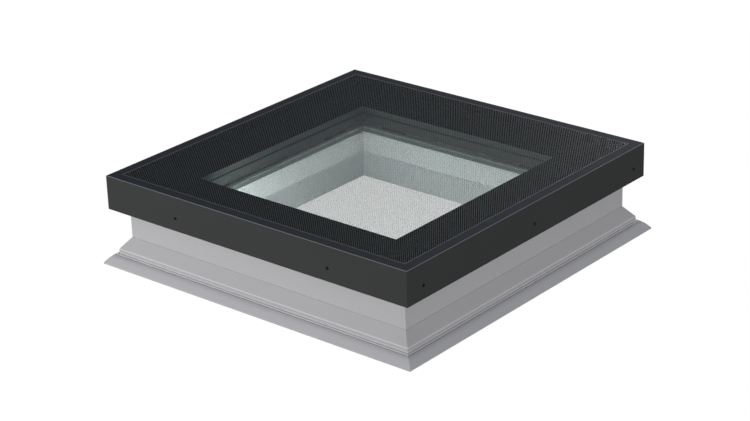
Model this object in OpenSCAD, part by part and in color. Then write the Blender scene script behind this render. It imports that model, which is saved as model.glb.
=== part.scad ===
// Fixed walk-on skylight for a flat roof: upstand, cover frame and a three-pane glass unit.
// Z is up, the origin is the middle of the base. The front is the -Y side.
// Profiles are drawn as [outward, up]: outward is measured from the cover's outer face.

/* [Overall] */
// Width of the cover, left to right
cover_w = 960; // [700:10:1600]
// Length of the cover, front to back
cover_l = 960; // [700:10:1600]
// Height from the roof deck to the top of the cover
total_h = 240; // [200:5:320]

/* [Cover frame] */
// Height of the cover's outer skirt
skirt_h = 91; // [75:1:110]
// Width of the lip seen from above
lip_w = 28; // [22:1:40]
// Wall of the skirt and the webs
cover_wall = 2.5; // [1.8:0.1:3.5]
// Thickness of the lip
lip_t = 3; // [2:0.5:5]
// Radius of the lip's outer edge
edge_r = 2; // [0.5:0.5:3]
// Width of the shelf under the pane's edge, inside the lip
shelf_w = 16; // [12:1:24]
// Hairline gap in each mitre
mitre_gap = 0.1; // [0:0.05:0.4]
// Leg length of the corner keys
key_leg = 70; // [40:5:120]

/* [Upstand] */
// How far the cover hangs over the upright face
overhang = 38; // [30:1:60]
// Cover's outer face to the upper reveal
frame_depth = 175; // [150:1:220]
// Wall of the hollow profile
pvc_wall = 3; // [2:0.5:4]
// Width of the ledge under the glass unit
ledge_w = 40; // [30:1:55]
// Height of the upper reveal
reveal_h = 57; // [30:1:70]
// Step back under the upper reveal
reveal_step = 12; // [6:1:20]
// Flare of the lower reveal, from its top to the base
flare = 22; // [5:1:40]
// Height of the sloped shelf's foot
slope_foot_z = 38.4; // [30:0.2:50]
// Rise of the sloped shelf
slope_rise = 30.2; // [20:0.2:50]
// Setback of the step from the cover's outer face
step_in = 13; // [8:0.5:20]

/* [Roof flange] */
// Reach of the flange beyond the cover
flange_out = 16.2; // [8:0.2:40]
// Height of the flange's upper face at the foot of the step
flange_h = 27; // [22:0.5:30]
// Height of the flange's outer edge
tip_h = 4.3; // [3:0.1:8]
// Width of the groove
groove_w = 1.8; // [1:0.1:4]
// Depth of the groove
groove_d = 3.8; // [1:0.1:5]
// Size of the shadow line between the upright and the shelf
crease = 0.8; // [0.3:0.1:1.2]

/* [Glass] */
// Thickness of the laminated walk-on pane
pane_t = 24; // [18:0.5:30]
// Thickness of the middle pane
middle_t = 4; // [3:0.5:8]
// Thickness of the laminated inner pane
inner_t = 10; // [6:0.5:14]
// Gap between the walk-on pane and the middle pane
upper_gap = 17; // [12:0.5:24]
// Gap between the middle pane and the inner pane
lower_gap = 24.5; // [12:0.5:26]
// Width of the spacer bars
spacer_w = 12; // [6:0.5:16]
// Width of the seal round each spacer
seal_w = 11; // [5:0.5:14]
// Air between the pane edges and the pocket wall, which the setting blocks fill
edge_air = 5; // [3:0.5:8]
// How far the walk-on pane's top lies under the lip's top
pane_drop = 0.5; // [0:0.1:2]
// Bond line between the glass and what it is set in, left as a hairline
bond_t = 0.1; // [0.05:0.05:0.3]

/* [Gaskets] */
// Width of the gasket between lip and glass
gasket_w = 2.5; // [2:0.1:5]
// Thickness of the tape on the shelf
tape_t = 4; // [2:0.5:6]
// Height of the bed gasket under the inner pane
bed_t = 12; // [6:0.5:14]
// Width of the bed gasket under the inner pane
bed_w = 18; // [10:1:24]

/* [Fixings] */
// Distance of the cover screws below the top
screw_drop = 57; // [48:0.5:60]
// Thread diameter of the cover screws
screw_d = 4; // [3:0.5:5]
// Head diameter of the cover screws
head_d = 8.8; // [6:0.2:9]
// Corner screws: distance from the cover's corner, on the left and right sides
side_screw_in = 53; // [50:1:90]
// Screws on the left and right sides: shift towards the back
side_screw_shift = 6.5; // [-10:0.5:10]
// Front and back screws: distance from the middle
front_screw_x = 244; // [150:1:300]
// Spacing of the rail screws
rail_screw_pitch = 260; // [150:10:400]

/* [Hidden] */

// Levels, from the top down
pane_top = total_h - pane_drop;
pane_under = pane_top - pane_t;
shelf_top = pane_under - tape_t;
upstand_top = shelf_top - cover_wall;
middle_top = pane_under - upper_gap;
middle_under = middle_top - middle_t;
inner_top = middle_under - lower_gap;
inner_under = inner_top - inner_t;
ledge_z = inner_under - bed_t;
reveal_z = ledge_z - reveal_h;
screw_z = total_h - screw_drop;
skirt_z = total_h - skirt_h;
slope_top_z = slope_foot_z + slope_rise;

// Places across the profile
face_o = -overhang;
lip_o = -lip_w;
pane_o = lip_o - gasket_w;
shelf_o = lip_o - shelf_w;
reveal_o = -frame_depth;
pocket_o = reveal_o + ledge_w;
lower_top_o = reveal_o + reveal_step;
base_in_o = lower_top_o + flare;
unit_o = pocket_o - edge_air;
spacer_out_o = unit_o - seal_w;
spacer_in_o = spacer_out_o - spacer_w;

// Flange: bead, groove and nose
bead_o = -7.2;
groove_z = flange_h - groove_d;
nose_top = [bead_o + groove_w + 1.4, flange_h - 2.4];
nose_run = 11.2;
nose_rise = 13;
nose_mid = [flange_out - nose_run, tip_h + nose_rise];
fillet_steps = 4;

// Webs inside the hollow profile
foot_web_o = -34;
outer_web_o = face_o - 14;
outer_web_z = slope_top_z + 8;
foam_fit = 0.3;

// Carrier rail: a Z section, with one leg on the upstand and one behind the skirt
rail_t = 2.5;
rail_fit = 0.3;
rail_web_z = screw_z - 14.5;
rail_top = screw_z + 14;
rail_foot_z = skirt_z + 4;
rail_out_o = -cover_wall - rail_fit;
rail_screw_z = (rail_foot_z + rail_web_z) / 2;
rail_end_in = 50;
rail_screw_d = 4.2;
rail_screw_l = 14;
rail_head_d = 8;
rail_head_t = 3;

// Screws
bore_play = 0.1;
screw_l = 16;
head_sink = 0.3;
countersink_r = head_d / 2 + 0.4;
countersink_h = countersink_r - screw_d / 2 - bore_play;
socket_d = 3;
socket_deep = 1.4;
block_l = 80;
block_in = 110;
key_fit = 0.3;
tape_w = 8;
gasket_drop = 0.2;
top_bed_w = 10;
top_bed_in = 7;
reach = 30;
$fn = 48;

// Turn, half size across and half size along of each side
RIGHT = [0, cover_w / 2, cover_l / 2];
BACK = [90, cover_l / 2, cover_w / 2];
LEFT = [180, cover_w / 2, cover_l / 2];
FRONT = [270, cover_l / 2, cover_w / 2];
SIDES = [RIGHT, BACK, LEFT, FRONT];

function unit(v) = v / norm(v);
function left_of(v) = [-v[1], v[0]];
function inset_corner(a, b, c, d) =
    let (m = left_of(unit(b - a)), n = left_of(unit(c - b))) b + d * (m + n) / (1 + m * n);
// A counter-clockwise outline moved inwards by d, corners kept sharp
function inset(p, d) =
    let (n = len(p)) [for (i = [0:n - 1]) inset_corner(p[(i + n - 1) % n], p[i], p[(i + 1) % n], d)];
function arc(centre, r, from, sweep, steps) =
    [for (i = [0:steps]) centre + r * [cos(from + sweep * i / steps), sin(from + sweep * i / steps)]];
// The corner b between a and c, rounded inside or outside by r
function fillet(a, b, c, r) =
    r == 0 ? [b] :
    let (u = unit(a - b), v = unit(c - b), half = acos(u * v) / 2,
         centre = b + unit(u + v) * r / sin(half),
         p = b + u * r / tan(half) - centre, q = b + v * r / tan(half) - centre,
         from = atan2(p[1], p[0]), turn = atan2(q[1], q[0]) - from)
    arc(centre, r, from, turn > 180 ? turn - 360 : turn < -180 ? turn + 360 : turn, fillet_steps);
// An outline through corners given as [across, up, radius]
function rounded(corners) =
    let (n = len(corners), p = [for (c = corners) [c[0], c[1]]])
    [for (i = [0:n - 1]) each fillet(p[(i + n - 1) % n], p[i], p[(i + 1) % n], corners[i][2])];
// Height of the sloped shelf at a place across the profile
function slope_z(o) = slope_foot_z + slope_rise * (-step_in - o) / (overhang - step_in);
// Place of the lower reveal at a height
function flare_o(z) = base_in_o - flare * z / reveal_z;

// Corners of the upstand's section with their radii, counter-clockwise from the inner base
upstand_corners = [[base_in_o, 0, 0.5], [flange_out, 0, 0.8], [flange_out, tip_h, 1.5],
    [nose_mid[0], nose_mid[1], 20], [nose_top[0], nose_top[1], 1],
    [bead_o + groove_w, groove_z, 0], [bead_o, groove_z, 0], [bead_o, flange_h, 0.8],
    [-step_in, flange_h, 1.2], [-step_in, slope_foot_z, 1.4],
    [face_o + crease, slope_z(face_o + crease), 0.2], [face_o - crease, slope_top_z, 0],
    [face_o, slope_top_z + crease, 0.2],
    [face_o, upstand_top, 0.5], [pocket_o, upstand_top, 0.5], [pocket_o, ledge_z, 0],
    [reveal_o, ledge_z, 1.2], [reveal_o, reveal_z, 0.8], [lower_top_o, reveal_z, 0]];
upstand_outline = rounded(upstand_corners);

foot_zone = [[foot_web_o - pvc_wall / 2, 0], [nose_mid[0], 0], [nose_mid[0], nose_mid[1] - 1],
    [bead_o, groove_z - 0.5], [-step_in, groove_z - 0.5], [-step_in, slope_foot_z],
    [foot_web_o - pvc_wall / 2, slope_z(foot_web_o - pvc_wall / 2)]];
foam_zone = [[base_in_o, 0], [foot_web_o + pvc_wall / 2, 0],
    [foot_web_o + pvc_wall / 2, slope_z(foot_web_o + pvc_wall / 2)],
    [face_o, slope_top_z], [face_o, outer_web_z + pvc_wall / 2],
    [outer_web_o + pvc_wall / 2, outer_web_z + pvc_wall / 2],
    [outer_web_o + pvc_wall / 2, upstand_top], [pocket_o, upstand_top],
    [pocket_o, reveal_z + pvc_wall], [flare_o(reveal_z + pvc_wall), reveal_z + pvc_wall]];
outer_zone = [[outer_web_o - pvc_wall / 2, outer_web_z - pvc_wall / 2],
    [face_o, outer_web_z - pvc_wall / 2], [face_o, upstand_top],
    [outer_web_o - pvc_wall / 2, upstand_top]];
ledge_zone = [[reveal_o, reveal_z], [pocket_o + pvc_wall, reveal_z],
    [pocket_o + pvc_wall, ledge_z], [reveal_o, ledge_z]];

// Plan of one side between its two mitres, for a side on +X
module mitred_plan(side, gap) {
    across = side[1];
    along = side[2];
    depth = frame_depth + reach;
    cut = gap / sqrt(2);
    polygon([[across + reach, -along - reach + cut], [across + reach, along + reach - cut],
             [across - depth, along - depth - cut], [across - depth, cut + depth - along]]);
}

// A profile run along one side and mitred at both ends
module bar(side, gap = 0) {
    rotate(side[0]) intersection() {
        translate([side[1], 0, 0]) rotate([90, 0, 0])
            linear_extrude(height = 2 * (side[2] + reach), center = true) children();
        translate([0, 0, -1]) linear_extrude(height = total_h + 2) mitred_plan(side, gap);
    }
}

// A frame of rectangular section on all four sides, between two insets from the cover's face
module ring(outer_o, inner_o, z0, z1) {
    translate([0, 0, z0]) linear_extrude(height = z1 - z0) difference() {
        square([cover_w + 2 * outer_o, cover_l + 2 * outer_o], center = true);
        square([cover_w + 2 * inner_o, cover_l + 2 * inner_o], center = true);
    }
}

// A pane centred in the frame, with its edges at an inset from the cover's face
module pane(edge_o, z0, z1) {
    translate([-cover_w / 2 - edge_o, -cover_l / 2 - edge_o, z0])
        cube([cover_w + 2 * edge_o, cover_l + 2 * edge_o, z1 - z0]);
}

// Puts a piece drawn for +X, with its axis outwards, on a side's face at a place along it
module on_side(side, along, o, z) {
    rotate(side[0]) translate([side[1] + o, along, z]) rotate([0, 90, 0]) children();
}

function is_end(side) = side == FRONT || side == BACK;
function cover_screw_places(side) =
    is_end(side) ? [-front_screw_x, front_screw_x] :
    [for (y = [side_screw_in - side[2], 0, side[2] - side_screw_in]) y + (side == RIGHT ? 1 : -1) * side_screw_shift];
function rail_screw_places(side) =
    let (span = side[2] - overhang - rail_end_in, n = ceil(2 * span / rail_screw_pitch))
    [for (i = [0:n]) -span + 2 * span * i / n];

module upstand(side) {
    color("gainsboro") difference() {
        bar(side) difference() {
            polygon(upstand_outline);
            for (zone = [foot_zone, foam_zone, outer_zone, ledge_zone]) polygon(inset(zone, pvc_wall));
        }
        for (y = rail_screw_places(side)) on_side(side, y, face_o - pvc_wall - 1, rail_screw_z)
            cylinder(h = pvc_wall + 2, r = rail_screw_d / 2 + bore_play);
    }
}

module insulation(side) {
    color("white") bar(side) polygon(inset(foam_zone, pvc_wall + foam_fit));
}

module carrier_rail(side) {
    color("silver") difference() {
        bar(side, mitre_gap) polygon([[face_o, rail_foot_z], [face_o + rail_t, rail_foot_z],
            [face_o + rail_t, rail_web_z], [rail_out_o, rail_web_z], [rail_out_o, rail_top],
            [rail_out_o - rail_t, rail_top], [rail_out_o - rail_t, rail_web_z + rail_t],
            [face_o, rail_web_z + rail_t]]);
        for (y = rail_screw_places(side)) on_side(side, y, face_o - 1, rail_screw_z)
            cylinder(h = rail_t + 2, r = rail_screw_d / 2 + bore_play);
        for (y = cover_screw_places(side)) on_side(side, y, rail_out_o - rail_t - 1, screw_z)
            cylinder(h = rail_t + 2, r = screw_d / 2 + bore_play);
    }
}

module cover(side) {
    color("darkslategray") difference() {
        bar(side, mitre_gap) difference() {
            polygon(rounded([[shelf_o, upstand_top, 0], [-cover_wall, upstand_top, 0],
                [-cover_wall, skirt_z, 0.4], [0, skirt_z, 0.6], [0, total_h, edge_r],
                [lip_o, total_h, 0.6], [lip_o, shelf_top, 0], [shelf_o, shelf_top, 0.4]]));
            polygon([[lip_o + cover_wall, shelf_top], [-cover_wall, shelf_top],
                [-cover_wall, total_h - lip_t], [lip_o + cover_wall, total_h - lip_t]]);
        }
        for (y = cover_screw_places(side)) on_side(side, y, 0, screw_z) {
            translate([0, 0, -cover_wall - 1]) cylinder(h = cover_wall + 2, r = screw_d / 2 + bore_play);
            translate([0, 0, -countersink_h]) cylinder(h = countersink_h + 0.01,
                r1 = screw_d / 2 + bore_play, r2 = countersink_r + 0.01);
        }
    }
}
// L-shaped key in the cover's chamber, drawn for the corner at +X +Y
module corner_key(mirror_x, mirror_y) {
    out_o = -cover_wall - key_fit;
    in_o = lip_o + cover_wall + key_fit;
    color("silver") mirror([mirror_x, 0, 0]) mirror([0, mirror_y, 0])
        translate([cover_w / 2, cover_l / 2, shelf_top])
        linear_extrude(height = total_h - lip_t - key_fit - shelf_top)
        polygon([[out_o, out_o], [out_o - key_leg, out_o], [out_o - key_leg, in_o], [in_o, in_o],
                 [in_o, out_o - key_leg], [out_o, out_o - key_leg]]);
}

module walk_on_pane() {
    color("lightcyan", 0.5) pane(pane_o, pane_under, pane_top);
}

module middle_pane() {
    color("lightcyan", 0.5) pane(unit_o, middle_under, middle_top);
}

module inner_pane() {
    color("lightcyan", 0.5) pane(unit_o, inner_under, inner_top);
}

module upper_spacer() {
    color("dimgray") ring(spacer_out_o, spacer_in_o, middle_top + bond_t, pane_under - bond_t);
}

module lower_spacer() {
    color("dimgray") ring(spacer_out_o, spacer_in_o, inner_top + bond_t, middle_under - bond_t);
}

module upper_edge_seal() {
    color("black") ring(unit_o, spacer_out_o, middle_top + bond_t, pane_under - bond_t);
}

module lower_edge_seal() {
    color("black") ring(unit_o, spacer_out_o, inner_top + bond_t, middle_under - bond_t);
}

module pane_gasket() {
    color("dimgray") ring(lip_o, pane_o + bond_t, shelf_top, total_h - gasket_drop);
}

module pane_tape() {
    color("black") ring(shelf_o + tape_w + 2, shelf_o + 2, shelf_top, pane_under - bond_t);
}

module pane_bed_gasket() {
    color("black") ring(pocket_o + top_bed_in + top_bed_w, pocket_o + top_bed_in, upstand_top, pane_under - bond_t);
}

module inner_bed_gasket() {
    color("black") ring(reveal_o + 2 + bed_w, reveal_o + 2, ledge_z, inner_under - bond_t);
}

module setting_blocks() {
    color("black") for (side = SIDES, end = [-1, 1])
        rotate(side[0]) translate([side[1] + unit_o, end * (side[2] + unit_o - block_in) - block_l / 2, ledge_z])
        cube([edge_air, block_l, middle_top - ledge_z]);
}

module cover_screws() {
    color("black") for (side = SIDES, y = cover_screw_places(side)) on_side(side, y, -head_sink, screw_z)
        difference() {
            union() {
                translate([0, 0, -screw_l]) cylinder(h = screw_l - 0.5, r = screw_d / 2);
                translate([0, 0, -(head_d - screw_d) / 2]) cylinder(h = (head_d - screw_d) / 2,
                    r1 = screw_d / 2, r2 = head_d / 2);
            }
            translate([0, 0, -socket_deep]) cylinder(h = socket_deep + 1, r = socket_d / 2, $fn = 6);
        }
}

module rail_screws() {
    color("silver") for (side = SIDES, y = rail_screw_places(side))
        on_side(side, y, face_o + rail_t, rail_screw_z) difference() {
            union() {
                translate([0, 0, -rail_screw_l]) cylinder(h = rail_screw_l + 1, r = rail_screw_d / 2);
                cylinder(h = rail_head_t, r = rail_head_d / 2);
            }
            translate([0, 0, rail_head_t - socket_deep]) cylinder(h = socket_deep + 1, r = socket_d / 2, $fn = 6);
        }
}

upstand(FRONT);  // upstand_front
upstand(RIGHT);  // upstand_right
upstand(BACK);  // upstand_back
upstand(LEFT);  // upstand_left
insulation(FRONT);  // insulation_front
insulation(RIGHT);  // insulation_right
insulation(BACK);  // insulation_back
insulation(LEFT);  // insulation_left
carrier_rail(FRONT);  // carrier_rail_front
carrier_rail(RIGHT);  // carrier_rail_right
carrier_rail(BACK);  // carrier_rail_back
carrier_rail(LEFT);  // carrier_rail_left
cover(FRONT);  // cover_front
cover(RIGHT);  // cover_right
cover(BACK);  // cover_back
cover(LEFT);  // cover_left
corner_key(0, 1);  // corner_key_front_right
corner_key(0, 0);  // corner_key_back_right
corner_key(1, 0);  // corner_key_back_left
corner_key(1, 1);  // corner_key_front_left
walk_on_pane();
middle_pane();
inner_pane();
upper_spacer();
lower_spacer();
upper_edge_seal();
lower_edge_seal();
pane_gasket();
pane_tape();
pane_bed_gasket();
inner_bed_gasket();
setting_blocks();
cover_screws();
rail_screws();
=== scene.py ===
"""Looks of a fixed walk-on skylight: finishes, glass, stage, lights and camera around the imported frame."""

import logging
import math
from dataclasses import dataclass, replace
from enum import Enum

import bmesh
import bpy
from mathutils import Matrix, Vector


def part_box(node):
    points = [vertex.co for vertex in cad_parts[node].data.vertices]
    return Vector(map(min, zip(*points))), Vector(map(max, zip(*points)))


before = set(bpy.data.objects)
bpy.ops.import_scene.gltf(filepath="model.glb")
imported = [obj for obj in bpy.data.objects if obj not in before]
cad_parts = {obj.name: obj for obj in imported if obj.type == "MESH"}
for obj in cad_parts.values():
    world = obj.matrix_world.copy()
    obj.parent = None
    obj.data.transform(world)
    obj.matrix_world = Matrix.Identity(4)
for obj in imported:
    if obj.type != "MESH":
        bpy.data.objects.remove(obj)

LOG = logging.getLogger("skylight")
Colour = tuple[float, float, float]
Place = tuple[float, float, float]
WHITE: Colour = (1.0, 1.0, 1.0)
SHAFT_DAYLIGHT: Colour = (0.87, 1.0, 0.955)


class Run(Enum):
    """The direction in which a profile was drawn through its die."""

    ALONG_X = (1.0, 0.0)
    ALONG_Y = (0.0, 1.0)


class Reach(Enum):
    """Which kinds of surface a lamp lights: matt ones, and glossy ones."""

    EVERY = (True, True)
    MATT = (True, False)


class Side(Enum):
    """The four sides of the unit, each with the direction its bars run in."""

    FRONT = ("front", Run.ALONG_X)
    RIGHT = ("right", Run.ALONG_Y)
    BACK = ("back", Run.ALONG_X)
    LEFT = ("left", Run.ALONG_Y)

    @property
    def word(self) -> str:
        """The word that ends the names of this side's nodes."""
        return self.value[0]

    @property
    def run(self) -> Run:
        """The direction of this side's bars."""
        return self.value[1]


@dataclass(frozen=True)
class Grain:
    """Noise of a given fineness: its scale in features a metre, and how much detail it holds."""

    scale: float
    detail: float = 2.0


class Wire:
    """A value inside a material. Arithmetic on it adds Math nodes."""

    def __init__(self, recipe: "Recipe", socket: bpy.types.NodeSocket) -> None:
        """Keeps the socket and the recipe it belongs to."""
        self.recipe = recipe
        self.socket = socket

    def _math(self, operation: str, first: "Wire | float", second: "Wire | float" = 0.0) -> "Wire":
        """Adds one Math node."""
        return self.recipe.node("ShaderNodeMath", {"operation": operation}, {0: first, 1: second})

    def __add__(self, other: "Wire | float") -> "Wire":
        """This value plus another."""
        return self._math("ADD", self, other)

    def __radd__(self, other: "Wire | float") -> "Wire":
        """Another value plus this one."""
        return self._math("ADD", other, self)

    def __sub__(self, other: "Wire | float") -> "Wire":
        """This value less another."""
        return self._math("SUBTRACT", self, other)

    def __rsub__(self, other: "Wire | float") -> "Wire":
        """Another value less this one."""
        return self._math("SUBTRACT", other, self)

    def __mul__(self, other: "Wire | float") -> "Wire":
        """This value times another."""
        return self._math("MULTIPLY", self, other)

    def __rmul__(self, other: "Wire | float") -> "Wire":
        """Another value times this one."""
        return self._math("MULTIPLY", other, self)

    def __pow__(self, other: "Wire | float") -> "Wire":
        """This value raised to a power."""
        return self._math("POWER", self, other)

    def over(self, edge: float) -> "Wire":
        """1 where the value is over an edge, else 0."""
        return self._math("GREATER_THAN", self, edge)

    def under(self, edge: float) -> "Wire":
        """1 where the value is under an edge, else 0."""
        return self._math("LESS_THAN", self, edge)

    def at_most(self, other: "Wire | float") -> "Wire":
        """The lower of two values."""
        return self._math("MINIMUM", self, other)

    def at_least(self, other: "Wire | float") -> "Wire":
        """The higher of two values."""
        return self._math("MAXIMUM", self, other)

    def size(self) -> "Wire":
        """The value without its sign."""
        return self._math("ABSOLUTE", self)

    def off_grid(self, pitch: float) -> "Wire":
        """Distance to the nearest of a row of points that lie a pitch apart."""
        return self._math("PINGPONG", self, pitch / 2)

    def ease(self, low: float, high: float) -> "Wire":
        """A smooth climb between two values.

        Args:
            low: Where the climb starts, at 0.
            high: Where it ends, at 1.

        Returns:
            The climb's height.
        """
        settings = {"interpolation_type": "SMOOTHSTEP"}
        sockets = {"Value": self, "From Min": low, "From Max": high}
        return self.recipe.node("ShaderNodeMapRange", settings, sockets)


class Recipe:
    """Builds one material node by node."""

    def __init__(self, name: str) -> None:
        """Starts an empty material.

        Args:
            name: The material's name.
        """
        self.material = bpy.data.materials.new(name)
        self.material.use_nodes = True
        self.tree = self.material.node_tree
        self.tree.nodes.clear()

    def node(
        self,
        kind: str,
        settings: dict[str, object],
        sockets: dict[str | int, object],
        output: str | int = 0,
    ) -> Wire:
        """Adds one node.

        Args:
            kind: The node's type.
            settings: Its settings, set first.
            sockets: The value or the wire of each input.
            output: Which output is used.

        Returns:
            The wire of that output.
        """
        made = self.tree.nodes.new(kind)
        for key, value in settings.items():
            setattr(made, key, value)
        for key, value in sockets.items():
            if isinstance(value, Wire):
                self.tree.links.new(value.socket, made.inputs[key])
            else:
                made.inputs[key].default_value = value
        return Wire(self, made.outputs[output])

    def place(self) -> Wire:
        """The point on the piece, in metres, in the unit's own frame."""
        return self.node("ShaderNodeTexCoord", {}, {}, "Object")

    def stretched(self, scale: tuple[float, float, float]) -> Wire:
        """The point on the piece, scaled along each axis."""
        return self.node("ShaderNodeMapping", {}, {"Vector": self.place(), "Scale": scale})

    def axes(self) -> tuple[Wire, Wire, Wire]:
        """Splits the point on the piece.

        Returns:
            Its x, y and z as separate wires.
        """
        x = self.node("ShaderNodeSeparateXYZ", {}, {0: self.place()}, "X")
        parts = x.socket.node.outputs
        return x, Wire(self, parts["Y"]), Wire(self, parts["Z"])

    def noise(self, grain: Grain, vector: Wire | None = None) -> Wire:
        """Noise between 0 and 1, read at the point on the piece or at another vector."""
        sockets = {"Vector": vector or self.place(), "Scale": grain.scale, "Detail": grain.detail}
        return self.node("ShaderNodeTexNoise", {}, sockets, "Fac")

    def blend(self, share: Wire, first: object, second: object) -> Wire:
        """The first colour, or the second by its share."""
        sockets = {0: share, 6: first, 7: second}
        return self.node("ShaderNodeMix", {"data_type": "RGBA"}, sockets, 2)

    def mottle(self, tone: Wire, colour: Colour, contrast: float) -> Wire:
        """A colour made darker and lighter by up to a contrast, as a tone between 0 and 1 says."""
        return self.blend(tone, shade(colour, 1 - contrast), shade(colour, 1 + contrast))

    def bump(self, height: Wire, depth: float) -> Wire:
        """A surface normal from a height between 0 and 1 and a depth in metres."""
        return self.node("ShaderNodeBump", {}, {"Height": height, "Distance": depth})

    def surface(self, sockets: dict[str | int, object]) -> Wire:
        """A Principled surface."""
        return self.node("ShaderNodeBsdfPrincipled", {}, sockets)

    def either(self, share: Wire | float, first: Wire, second: Wire) -> Wire:
        """The first surface, or the second by its share."""
        return self.node("ShaderNodeMixShader", {}, {0: share, 1: first, 2: second})

    def finish(self, surface: Wire) -> bpy.types.Material:
        """Wires a surface to the output.

        Args:
            surface: The surface of the whole material.

        Returns:
            The finished material.
        """
        output = self.tree.nodes.new("ShaderNodeOutputMaterial")
        self.tree.links.new(surface.socket, output.inputs["Surface"])
        return self.material


def shade(colour: Colour, factor: float) -> tuple[float, float, float, float]:
    """A colour times a factor, with an alpha of 1."""
    return (colour[0] * factor, colour[1] * factor, colour[2] * factor, 1.0)


@dataclass(frozen=True)
class Trace:
    """A narrow band along the upstand with painted light: a painted highlight on an edge or a flat, or
    painted shade on a step face, in a crease or in a hollow.

    It lies between two insets from the flange's outer edge and between two heights.
    """

    inset: tuple[float, float]
    height: tuple[float, float]
    tone: float

    def share(self, outward: Wire, z: Wire, half: float) -> Wire:
        """Where the band lies.

        Args:
            outward: Distance from the unit's middle towards the nearest side.
            z: Height over the roof.
            half: Half the width of the flange.

        Returns:
            1 on the band and 0 elsewhere.
        """
        near, far = self.inset
        low, high = self.height
        return outward.over(half - far) * outward.under(half - near) * z.over(low) * z.under(high)


@dataclass(frozen=True)
class ExtrudedPlastic:
    """Satin PVC, with fine die lines along the bar, a slight grain, and narrow bands of painted highlight and
    painted shade along the upstand's edges and creases.
    """

    run: Run
    half: float
    colour: Colour = (0.637, 0.62, 0.632)
    contrast: float = 0.06
    roughness: float = 0.52
    roughness_spread: float = 0.1
    specular: float = 0.3
    lines: Grain = Grain(700.0)
    line_stretch: float = 0.012
    line_share: float = 0.15
    line_relief: float = 0.4
    grain: Grain = Grain(420.0)
    grain_share: float = 0.45
    grain_relief: float = 0.6
    relief_depth: float = 0.00003
    cloud: Grain = Grain(6.0, 4.0)
    cloud_share: float = 0.4
    # Painted highlights on the step's edge, on the bead's crest and on the flat at the foot; painted shade on
    # the step's face, in the crease over the slope and in the hollow behind the bead.
    traces: tuple[Trace, ...] = (
        Trace((0.0284, 0.0307), (0.0366, 0.0396), 1.30),
        Trace((0.0284, 0.0307), (0.0290, 0.0366), 0.91),
        Trace((0.0525, 0.0560), (0.0675, 0.0700), 0.94),
        Trace((0.0241, 0.0297), (0.0262, 0.0290), 1.10),
        Trace((0.0229, 0.0241), (0.0262, 0.0280), 1.25),
        Trace((0.0157, 0.0217), (0.0180, 0.0265), 0.88),
    )

    def make(self) -> bpy.types.Material:
        """Builds the material.

        Returns:
            The material, named after the direction of its lines.
        """
        recipe = Recipe(f"extruded_plastic_{self.run.name.lower()}")
        stretch = tuple(self.line_stretch if axis else 1.0 for axis in self.run.value)
        lines = recipe.noise(self.lines, recipe.stretched((*stretch, 1.0)))
        grain = recipe.noise(self.grain)
        cloud = recipe.noise(self.cloud)
        tone = cloud * self.cloud_share + grain * self.grain_share + lines * self.line_share
        relief = grain * self.grain_relief + lines * self.line_relief
        colour = recipe.mottle(tone, self.colour, self.contrast)
        x, y, z = recipe.axes()
        outward = x.size().at_least(y.size())
        # Paints the bands of highlight and shade over the plastic's own colour.
        for light_band in self.traces:
            share = light_band.share(outward, z, self.half)
            colour = recipe.blend(share, colour, shade(self.colour, light_band.tone))
        sockets = {
            "Base Color": colour,
            "Roughness": self.roughness + self.roughness_spread * grain,
            "Specular IOR Level": self.specular,
            "Normal": recipe.bump(relief, self.relief_depth),
        }
        return recipe.finish(recipe.surface(sockets))


@dataclass(frozen=True)
class PowderCoat:
    """Matt anthracite powder coat, with a fine orange-peel texture, a painted highlight along the upper outer
    edge, and a top face painted darker and bluer as painted shade and a painted sky reflection.
    """

    half: float
    top: float
    colour: Colour = (0.063, 0.0635, 0.0625)
    contrast: float = 0.12
    roughness: float = 0.62
    roughness_spread: float = 0.12
    specular: float = 0.1
    # The top face is painted darker and bluer than the sides: painted shade and a painted sky reflection.
    lip_colour: Colour = (0.041, 0.043, 0.054)
    lip_skin: float = 0.0003
    # The upper outer edge is painted pale as a painted highlight, and is also less rough there.
    edge_width: float = 0.0013
    edge_colour: Colour = (0.24, 0.245, 0.25)
    edge_roughness: float = 0.28
    peel: Grain = Grain(900.0)
    peel_depth: float = 0.00005
    speck: Grain = Grain(3500.0, 1.0)
    speck_share: float = 0.5
    cloud: Grain = Grain(5.0, 3.0)

    def make(self) -> bpy.types.Material:
        """Builds the material.

        Returns:
            The material of all four cover bars.
        """
        recipe = Recipe("powder_coat")
        peel = recipe.noise(self.peel)
        tone = recipe.noise(self.speck) * self.speck_share + recipe.noise(self.cloud) * (1 - self.speck_share)
        x, y, z = recipe.axes()
        # Mask of the painted highlight along the upper outer edge.
        outer = x.size().at_least(y.size()).over(self.half - self.edge_width)
        edge = outer * z.over(self.top - self.edge_width)
        colour = recipe.mottle(tone, self.colour, self.contrast)
        # Paints the top face with its painted shade and painted sky reflection.
        colour = recipe.blend(z.over(self.top - self.lip_skin), colour, (*self.lip_colour, 1.0))
        matt = self.roughness + self.roughness_spread * peel
        sockets = {
            "Base Color": recipe.blend(edge, colour, (*self.edge_colour, 1.0)),
            "Roughness": matt - (self.roughness - self.edge_roughness) * edge,
            "Specular IOR Level": self.specular,
            "Normal": recipe.bump(peel, self.peel_depth),
        }
        return recipe.finish(recipe.surface(sockets))


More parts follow.
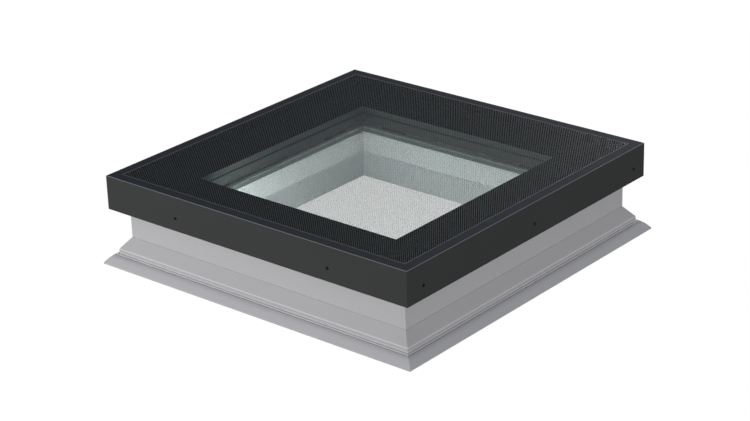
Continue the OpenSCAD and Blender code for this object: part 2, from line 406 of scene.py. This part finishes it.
@dataclass(frozen=True)
class Glass:
    """Clear float glass: what lies behind it shows straight through, with its own mirror sheen."""

    name: str = "clear_glass"
    tint: Colour = (0.986, 0.990, 0.988)
    head_on_mirror: float = 0.035
    grazing_mirror: float = 0.7
    mirror_power: float = 5.0
    facing_blend: float = 0.5
    roughness: float = 0.03
    roughness_spread: float = 0.02
    haze: Grain = Grain(9.0, 3.0)

    def body(self, recipe: Recipe) -> Wire:
        """Adds the bare glass to a material.

        Args:
            recipe: The material that it belongs to.

        Returns:
            The glass surface alone, which a printed pane covers in part.
        """
        facing = recipe.node("ShaderNodeLayerWeight", {}, {"Blend": self.facing_blend}, "Facing")
        mirror = self.head_on_mirror + self.grazing_mirror * facing**self.mirror_power
        clear = recipe.node("ShaderNodeBsdfTransparent", {}, {"Color": (*self.tint, 1.0)})
        haze = self.roughness + self.roughness_spread * recipe.noise(self.haze)
        gloss = recipe.node("ShaderNodeBsdfGlossy", {}, {"Color": (*WHITE, 1.0), "Roughness": haze})
        return recipe.either(mirror, clear, gloss)

    def make(self) -> bpy.types.Material:
        """Builds the material."""
        recipe = Recipe(self.name)
        return recipe.finish(self.body(recipe))


@dataclass(frozen=True)
class PrintedPane:
    """The walk-on pane: glass with anti-slip dots on top and a black border printed underneath."""

    clear_half: float
    top: float
    glass: Glass = Glass()
    skin: float = 0.0004
    grit: Grain = Grain(1800.0)
    contrast: float = 0.1
    across_pitch: float = 0.00566
    along_pitch: float = 0.00727
    dot_radius: float = 0.00115
    dot_blur: float = 0.1
    dot_cover: float = 0.46
    dot_colour: Colour = (0.27, 0.292, 0.282)
    dot_roughness: float = 0.46
    dot_spread: float = 0.08
    dot_specular: float = 0.5
    dot_sheen: float = 0.6
    border_colour: Colour = (0.004, 0.005, 0.005)
    border_roughness: float = 0.6
    border_spread: float = 0.1

    def dots(self, x: Wire, y: Wire) -> Wire:
        """The staggered rows of dots, one at each corner of a cell and one in its middle.

        Args:
            x: Place across the pane.
            y: Place along the pane.

        Returns:
            1 on a dot and 0 between the dots.
        """
        across = (x + self.across_pitch / 4).off_grid(self.across_pitch)
        along = (y + self.along_pitch / 4).off_grid(self.along_pitch)
        between_across = self.across_pitch / 2 - across
        between_along = self.along_pitch / 2 - along
        from_corner = across * across + along * along
        from_middle = between_across * between_across + between_along * between_along
        distance = from_corner.at_most(from_middle) ** 0.5
        return 1 - distance.ease(self.dot_radius * (1 - self.dot_blur), self.dot_radius * (1 + self.dot_blur))

    def make(self) -> bpy.types.Material:
        """Builds the material.

        Returns:
            The material of the whole pane.
        """
        recipe = Recipe("printed_pane")
        x, y, z = recipe.axes()
        top = z.over(self.top - self.skin)
        grit = recipe.noise(self.grit)
        enamel = recipe.surface(
            {
                "Base Color": recipe.mottle(grit, self.dot_colour, self.contrast),
                "Roughness": self.dot_roughness + self.dot_spread * grit,
                "Specular IOR Level": self.dot_specular,
            }
        )
        sheen = recipe.node("ShaderNodeBsdfGlossy", {}, {"Roughness": self.dot_roughness})
        border_skin = recipe.surface(
            {
                "Base Color": recipe.mottle(grit, self.border_colour, self.contrast),
                "Roughness": self.border_roughness + self.border_spread * grit,
                "Specular IOR Level": 0.0,
            }
        )
        outside = x.size().at_least(y.size()).over(self.clear_half)
        cover = self.dots(x, y) * top * self.dot_cover
        dotted = recipe.either(cover, self.glass.body(recipe), recipe.either(self.dot_sheen, enamel, sheen))
        return recipe.finish(recipe.either(outside * (1 - top), dotted, border_skin))


@dataclass(frozen=True)
class Matt:
    """A dull moulded, foamed or rubbery finish, with grain of a given size.

    Over a given height its colour is painted lighter by a given factor: painted light on a face that lies in
    shade.
    """

    name: str
    colour: Colour
    roughness: float
    grain_scale: float
    grain_depth: float
    contrast: float = 0.08
    metallic: float = 0.0
    specular: float = 0.3
    roughness_spread: float = 0.08
    detail: float = 3.0
    cloud_size: float = 40.0
    grain_share: float = 0.6
    pale_over: float | None = None
    pale_tone: float = 7.5

    def make(self) -> bpy.types.Material:
        """Builds the material.

        Returns:
            The material, under the finish's own name.
        """
        recipe = Recipe(self.name)
        grain = recipe.noise(Grain(self.grain_scale, self.detail))
        cloud = recipe.noise(Grain(self.grain_scale / self.cloud_size, self.detail))
        tone = grain * self.grain_share + cloud * (1 - self.grain_share)
        colour = recipe.mottle(tone, self.colour, self.contrast)
        # Painted light: the colour over the given height is made lighter.
        if self.pale_over is not None:
            upper = recipe.axes()[2].over(self.pale_over)
            colour = recipe.blend(upper, colour, shade(self.colour, self.pale_tone))
        sockets = {
            "Base Color": colour,
            "Roughness": self.roughness + self.roughness_spread * grain,
            "Metallic": self.metallic,
            "Specular IOR Level": self.specular,
            "Normal": recipe.bump(grain, self.grain_depth),
        }
        return recipe.finish(recipe.surface(sockets))


def dress(node: str, material: bpy.types.Material) -> None:
    """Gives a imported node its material.

    Args:
        node: The node's name.
        material: Its material, in every slot.
    """
    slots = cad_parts[node].material_slots
    if not slots:
        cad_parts[node].data.materials.append(material)
    for slot in slots:
        slot.material = material
    LOG.info("dressed %s with %s", node, material.name)


@dataclass
class Upstand:
    """The hollow plastic upstand with its insulation."""

    foam: Matt = Matt("foam", (0.86, 0.86, 0.84), 0.8, 260.0, 0.0006)

    def dress(self) -> None:
        """Dresses the bars and the cores."""
        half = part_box("upstand_front")[1].x
        skins = {run: ExtrudedPlastic(run, half).make() for run in Run}
        foam = self.foam.make()
        for side in Side:
            dress(f"upstand_{side.word}", skins[side.run])
            dress(f"insulation_{side.word}", foam)


@dataclass
class CoverFrame:
    """The powder-coated cover with its rails, keys and screws."""

    mill: Matt = Matt("mill_aluminium", (0.72, 0.73, 0.74), 0.34, 1400.0, 0.00002, 0.05, 1.0)
    dark: Matt = Matt("dark_screw", (0.006, 0.006, 0.007), 0.3, 2500.0, 0.00003, 0.15)
    plated: Matt = Matt("plated_screw", (0.62, 0.62, 0.64), 0.3, 2500.0, 0.00003, 0.1, 1.0)

    def dress(self) -> None:
        """Dresses the bars, rails, keys and screws."""
        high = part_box("cover_front")[1]
        coat = PowderCoat(high.x, high.z).make()
        mill = self.mill.make()
        for side in Side:
            dress(f"cover_{side.word}", coat)
            dress(f"carrier_rail_{side.word}", mill)
        for end in (Side.FRONT, Side.BACK):
            for hand in (Side.RIGHT, Side.LEFT):
                dress(f"corner_key_{end.word}_{hand.word}", mill)
        dress("cover_screws", self.dark.make())
        dress("rail_screws", self.plated.make())


@dataclass
class GlassUnit:
    """The three panes with their spacers, seals and gaskets."""

    border_in: float = 0.0015
    # Depth of the bed gasket's top skin that gets painted light.
    bed_skin: float = 0.0003
    spacer: Matt = Matt("spacer_bar", (0.09, 0.097, 0.094), 0.5, 2200.0, 0.00004)
    sealant: Matt = Matt("edge_sealant", (0.012, 0.013, 0.013), 0.6, 900.0, 0.0002)
    rubber: Matt = Matt("gasket_rubber", (0.16, 0.16, 0.156), 0.6, 1800.0, 0.00005)
    bed: Matt = Matt("bed_rubber", (0.104, 0.112, 0.108), 0.6, 1800.0, 0.00005)
    block: Matt = Matt("setting_block", (0.03, 0.03, 0.032), 0.5, 1500.0, 0.00004)

    def dress(self) -> None:
        """Dresses the panes, spacers, seals, gaskets and blocks."""
        clear_half = self.spacer_half() - self.border_in
        dress("walk_on_pane", PrintedPane(clear_half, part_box("walk_on_pane")[1].z).make())
        clear = Glass().make()
        dress("middle_pane", clear)
        dress("inner_pane", clear)
        spacer = self.spacer.make()
        sealant = self.sealant.make()
        for level in ("upper", "lower"):
            dress(f"{level}_spacer", spacer)
            dress(f"{level}_edge_seal", sealant)
        rubber = self.rubber.make()
        for node in ("pane_gasket", "pane_tape", "pane_bed_gasket"):
            dress(node, rubber)
        bed_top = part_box("inner_bed_gasket")[1].z
        # The bed gasket's top skin is painted lighter: painted light on a face that lies in shade under the
        # spacer.
        dress("inner_bed_gasket", replace(self.bed, pale_over=bed_top - self.bed_skin).make())
        dress("setting_blocks", self.block.make())

    @staticmethod
    def spacer_half() -> float:
        """Distance from the middle to the spacer's inner face."""
        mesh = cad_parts["upper_spacer"].data
        return min(max(abs(v.co.x), abs(v.co.y)) for v in mesh.vertices)


@dataclass
class Stage:
    """The pale floor that rises into a backdrop all round.

    It lies a hair under the unit, so that no two faces share a plane.
    """

    radius: float = 14.0
    rise: float = 9.0
    bend: float = 5.0
    steps: int = 64
    bend_steps: int = 12
    seam: float = 0.0001
    drop: float = 0.0005
    glow: float = 1.0
    colour: Colour = (0.02, 0.02, 0.02)
    contrast: float = 0.01
    roughness: float = 0.9
    cloud: Grain = Grain(1.5)

    def make(self) -> None:
        """Builds the floor and hides it from diffuse, glossy and shadow rays."""
        mesh = bmesh.new()
        places = [Vector((0, 0, 0)), Vector((self.radius - self.bend, 0, 0))]
        for step in range(1, self.bend_steps + 1):
            angle = math.pi / 2 * step / self.bend_steps
            out = self.radius - self.bend + self.bend * math.sin(angle)
            places.append(Vector((out, 0, self.bend * (1 - math.cos(angle)))))
        places.append(Vector((self.radius, 0, self.rise)))
        points = [mesh.verts.new(place) for place in places]
        edges = [mesh.edges.new(pair) for pair in zip(points, points[1:])]
        bmesh.ops.spin(
            mesh,
            geom=points + edges,
            cent=(0, 0, 0),
            axis=(0, 0, 1),
            angle=math.tau,
            steps=self.steps,
            use_merge=True,
        )
        bmesh.ops.remove_doubles(mesh, verts=mesh.verts, dist=self.seam)
        bmesh.ops.translate(mesh, verts=mesh.verts, vec=(0, 0, -self.drop))
        data = bpy.data.meshes.new("floor")
        mesh.to_mesh(data)
        mesh.free()
        floor = bpy.data.objects.new("floor", data)
        bpy.context.scene.collection.objects.link(floor)
        for polygon in data.polygons:
            polygon.use_smooth = True
        data.materials.append(self._paint())
        floor.visible_diffuse = False
        floor.visible_glossy = False
        floor.visible_shadow = False
        LOG.info("made the floor")

    def _paint(self) -> bpy.types.Material:
        """Mixes the floor's paint.

        Returns:
            Matt paint that glows white, as an evenly lit studio floor does.
        """
        recipe = Recipe("floor_paint")
        darker = shade(self.colour, 1 - self.contrast)
        sockets = {
            "Base Color": recipe.blend(recipe.noise(self.cloud), darker, (*self.colour, 1.0)),
            "Roughness": self.roughness,
            "Specular IOR Level": 0.0,
            "Emission Color": (*WHITE, 1.0),
            "Emission Strength": self.glow,
        }
        return recipe.finish(recipe.surface(sockets))


@dataclass(frozen=True)
class SoftLight:
    """One softbox, aimed at a point: a round one, or a rectangle if it has a height."""

    name: str
    azimuth: float
    elevation: float
    distance: float
    size: float
    power: float
    colour: Colour = WHITE
    aim: Place = (0.0, 0.0, 0.12)
    reach: Reach = Reach.EVERY
    height: float | None = None

    def make(self) -> None:
        """Builds the lamp, which the camera doesn't see."""
        lamp = bpy.data.lights.new(self.name, "AREA")
        lamp.shape = "RECTANGLE" if self.height else "DISK"
        lamp.size = self.size
        lamp.size_y = self.height or self.size
        lamp.energy = self.power
        lamp.color = self.colour
        holder = bpy.data.objects.new(self.name, lamp)
        bpy.context.scene.collection.objects.link(holder)
        back = direction(self.azimuth, self.elevation)
        holder.location = Vector(self.aim) + back * self.distance
        holder.rotation_mode = "QUATERNION"
        holder.rotation_quaternion = back.to_track_quat("Z", "Y")
        holder.visible_camera = False
        holder.visible_diffuse, holder.visible_glossy = self.reach.value


def direction(azimuth: float, elevation: float) -> Vector:
    """Turns two angles into a direction.

    Args:
        azimuth: Degrees round the unit from its front, towards its right.
        elevation: Degrees over the horizon.

    Returns:
        The unit vector that way.
    """
    turn = math.radians(azimuth)
    lift = math.radians(elevation)
    flat = math.cos(lift)
    return Vector((math.sin(turn) * flat, -math.cos(turn) * flat, math.sin(lift)))


@dataclass(frozen=True)
class Studio:
    """The lamps and the dim surroundings. Two of the lamps stand in the shaft, for the daylight there."""

    sky: Colour = (0.075, 0.085, 0.095)
    lamps: tuple[SoftLight, ...] = (
        SoftLight("key_light", azimuth=-36.0, elevation=7.0, distance=7.0, size=3.0, power=284.0),
        SoftLight("fill_light", azimuth=67.0, elevation=7.0, distance=7.0, size=3.0, power=135.0),
        SoftLight("rim_light", azimuth=136.0, elevation=8.0, distance=7.0, size=2.5, power=60.0),
        SoftLight(
            "top_light",
            azimuth=0.0,
            elevation=88.0,
            distance=7.0,
            size=4.0,
            power=60.0,
            colour=(0.6, 0.8, 1.0),
        ),
        SoftLight("back_light", azimuth=197.0, elevation=22.0, distance=9.0, size=1.0, power=225.0),
        SoftLight(
            "shaft_light",
            azimuth=0.0,
            elevation=90.0,
            distance=0.0,
            size=0.6,
            height=0.6,
            power=1.95,
            colour=SHAFT_DAYLIGHT,
            aim=(0.0, 0.0, 0.172),
            reach=Reach.MATT,
        ),
        SoftLight(
            "side_light",
            azimuth=0.0,
            elevation=0.0,
            distance=0.29,
            size=0.56,
            height=0.06,
            power=2.4,
            colour=SHAFT_DAYLIGHT,
            aim=(0.0, 0.0, 0.115),
            reach=Reach.MATT,
        ),
    )

    def make(self) -> None:
        """Builds the surroundings and the lamps."""
        world = bpy.data.worlds.new("surroundings")
        world.use_nodes = True
        world.node_tree.nodes["Background"].inputs["Color"].default_value = (*self.sky, 1.0)
        bpy.context.scene.world = world
        for lamp in self.lamps:
            lamp.make()
        LOG.info("made %d lamps", len(self.lamps))


@dataclass(frozen=True)
class Viewpoint:
    """The camera: where it stands round the middle of the cover's top, where it looks, and its lens."""

    azimuth: float = 40.184
    elevation: float = 21.897
    distance: float = 5.4748
    look_azimuth: float = 40.303
    look_elevation: float = 23.252
    roll: float = -1.7225
    lens: float = 104.71
    sensor: float = 36.0
    sight: float = 200.0

    def make(self) -> None:
        """Builds the camera and makes it the scene's own."""
        data = bpy.data.cameras.new("camera")
        data.lens = self.lens
        data.sensor_width = self.sensor
        data.clip_end = self.sight
        camera = bpy.data.objects.new("camera", data)
        bpy.context.scene.collection.objects.link(camera)
        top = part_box("cover_front")[1].z
        place = Vector((0, 0, top)) + direction(self.azimuth, self.elevation) * self.distance
        back = direction(self.look_azimuth, self.look_elevation)
        turn = math.radians(self.look_azimuth)
        right = Vector((math.cos(turn), math.sin(turn), 0.0))
        upward = back.cross(right)
        tilt = Matrix.Rotation(math.radians(self.roll), 3, back)
        basis = Matrix((tilt @ right, tilt @ upward, back)).transposed()
        camera.matrix_world = Matrix.Translation(place) @ basis.to_4x4()
        bpy.context.scene.camera = camera
        LOG.info("made the camera")


def main() -> None:
    """Dresses the skylight and builds the stage, lamps and camera."""
    logging.basicConfig(level=logging.INFO, format="%(name)s: %(message)s")
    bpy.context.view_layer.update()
    bpy.context.scene.view_settings.view_transform = "Standard"
    for assembly in (Upstand(), CoverFrame(), GlassUnit()):
        assembly.dress()
    Stage().make()
    Studio().make()
    Viewpoint().make()


if __name__ == "__main__":
    main()
